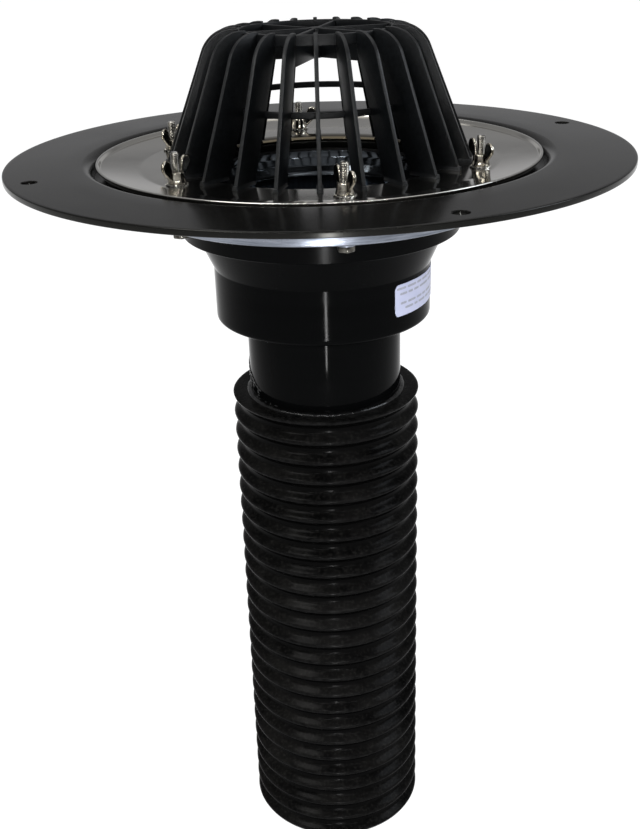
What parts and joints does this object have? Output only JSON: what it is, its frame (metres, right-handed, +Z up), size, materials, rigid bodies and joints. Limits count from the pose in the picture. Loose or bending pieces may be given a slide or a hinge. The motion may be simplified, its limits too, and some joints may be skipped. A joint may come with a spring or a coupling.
{
  "type": "flat roof drain",
  "caption": "Flat roof drain with a finned leaf strainer, a clamping ring held by bolts and wing nuts, a turned sump, an outlet pipe and a corrugated hose.",
  "frame": {"origin": "on the drain's axis, in the plane of the underside of the roof flange's rim", "axes": "+Z up along the axis, towards the strainer dome; +X and +Y lie in the flange's plane, each on the centre of a gap between two fins, and +Y passes through a clamping bolt"},
  "size_m": [0.4169, 0.417, 0.6245],
  "materials": {
    "flange_plastic": "satin black moulded plastic with faint turning marks and a little dust",
    "ring_steel": "satin stainless sheet, faintly brushed round the axis",
    "seal_rubber": "matt black rubber sheet",
    "body_plastic": "black plastic with fine turned rings, glossy where it is turned",
    "zinc_steel": "zinc-plated steel, bluish, streaked along the edge",
    "pipe_plastic": "smooth glossy black pipe",
    "hose_plastic": "satin black corrugated plastic",
    "sealant": "cured black sealant, glossy and uneven",
    "dome_plastic": "satin black moulded plastic, dark blue-grey in the light",
    "label_film": "white film with a dull shine, bare",
    "bolt_steel": "bright stainless steel with a rolled thread",
    "washer_steel": "bright spring steel",
    "nut_steel": "polished cast stainless steel"
  },
  "bodies": {
    "drain": {"roof_flange": "flange_plastic", "clamp_ring": "ring_steel", "clamp_seal": "seal_rubber", "body_seal": "seal_rubber", "drain_body": "body_plastic", "backing_ring": "zinc_steel", "outlet_pipe": "pipe_plastic", "corrugated_hose": "hose_plastic", "sealant_bead": "sealant", "strainer_dome": "dome_plastic", "blank_label": "label_film", "hex_bolt_1": "bolt_steel", "hex_bolt_2": "bolt_steel", "hex_bolt_3": "bolt_steel", "hex_bolt_4": "bolt_steel", "hex_bolt_5": "bolt_steel", "hex_bolt_6": "bolt_steel", "head_washer_1": "zinc_steel", "head_washer_2": "zinc_steel", "head_washer_3": "zinc_steel", "head_washer_4": "zinc_steel", "head_washer_5": "zinc_steel", "head_washer_6": "zinc_steel", "toothed_washer_1": "washer_steel", "toothed_washer_2": "washer_steel", "toothed_washer_3": "washer_steel", "toothed_washer_4": "washer_steel", "toothed_washer_5": "washer_steel", "toothed_washer_6": "washer_steel"},
    "nut_1": {"wing_nut_1": "nut_steel"},
    "nut_2": {"wing_nut_2": "nut_steel"},
    "nut_3": {"wing_nut_3": "nut_steel"},
    "nut_4": {"wing_nut_4": "nut_steel"},
    "nut_5": {"wing_nut_5": "nut_steel"},
    "nut_6": {"wing_nut_6": "nut_steel"}
  },
  "joints": [
    {"name": "wing_nut_1_turn", "type": "hinge", "parent": "drain", "child": "nut_1", "pos_m": [0.09699, 0.056, -0.0005], "axis": [0, 0, 1], "continuous": true},
    {"name": "wing_nut_2_turn", "type": "hinge", "parent": "drain", "child": "nut_2", "pos_m": [0, 0.112, -0.0005], "axis": [0, 0, 1], "continuous": true},
    {"name": "wing_nut_3_turn", "type": "hinge", "parent": "drain", "child": "nut_3", "pos_m": [-0.09699, 0.056, -0.0005], "axis": [0, 0, 1], "continuous": true},
    {"name": "wing_nut_4_turn", "type": "hinge", "parent": "drain", "child": "nut_4", "pos_m": [-0.09699, -0.056, -0.0005], "axis": [0, 0, 1], "continuous": true},
    {"name": "wing_nut_5_turn", "type": "hinge", "parent": "drain", "child": "nut_5", "pos_m": [0, -0.112, -0.0005], "axis": [0, 0, 1], "continuous": true},
    {"name": "wing_nut_6_turn", "type": "hinge", "parent": "drain", "child": "nut_6", "pos_m": [0.09699, -0.056, -0.0005], "axis": [0, 0, 1], "continuous": true}
  ]
}
